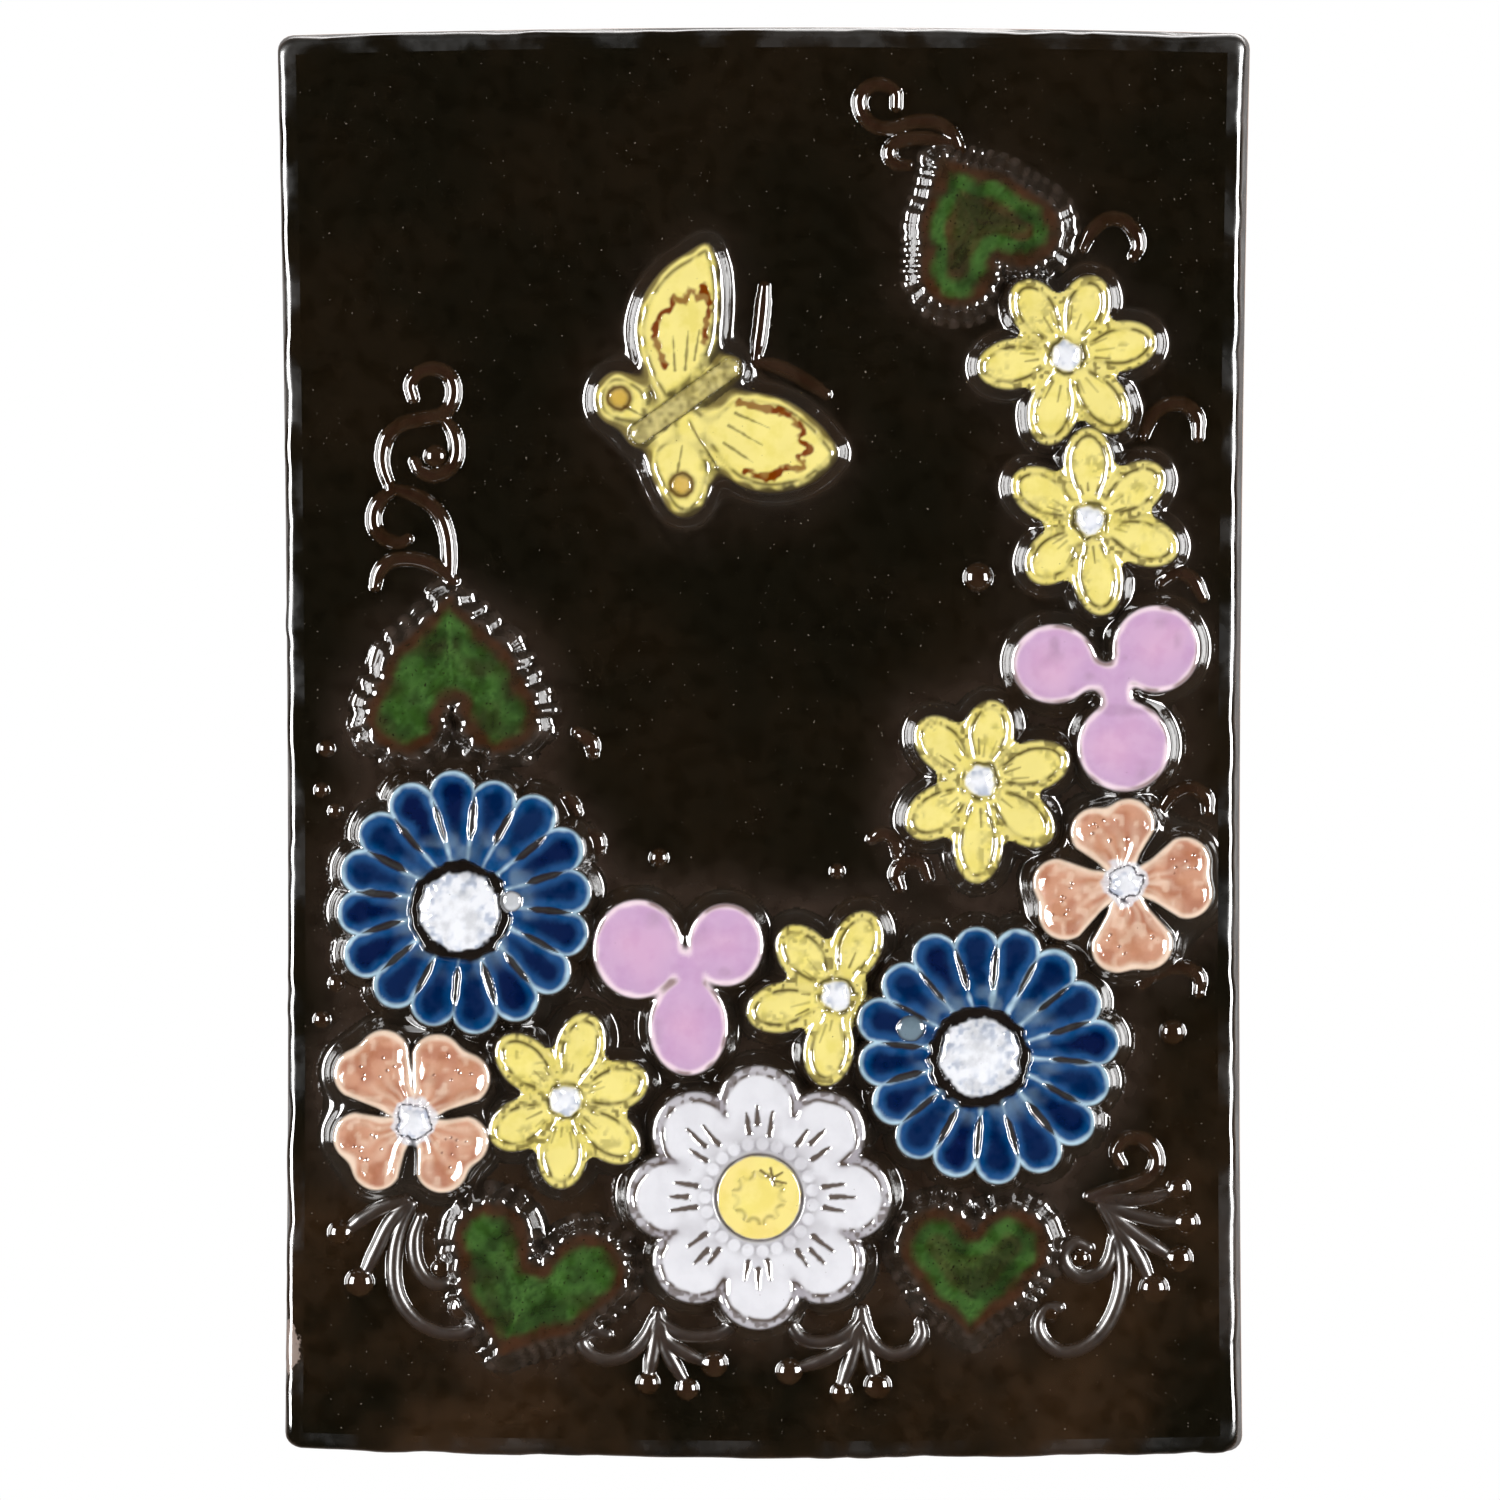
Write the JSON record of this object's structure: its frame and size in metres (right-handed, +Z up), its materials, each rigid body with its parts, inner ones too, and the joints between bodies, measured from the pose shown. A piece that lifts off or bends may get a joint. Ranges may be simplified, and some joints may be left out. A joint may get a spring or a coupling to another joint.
{
  "type": "wall plaque",
  "caption": "Upright rectangular glazed ceramic wall plaque with flowers, heart-shaped leaves, a butterfly and scrolls in relief, a recessed back and a hanging slot.",
  "frame": {"origin": "middle of the flat ceiling of the hanging slot in the back of the top rim", "axes": "+Z up the plaque, +X to the right seen from the front, the decorated front faces -Y and the back rests on a wall that faces -Y"},
  "size_m": [0.202, 0.0225, 0.2978],
  "materials": {
    "glaze": "gloss"
  },
  "bodies": {
    "root": {"plaque": "glaze"}
  },
  "joints": []
}
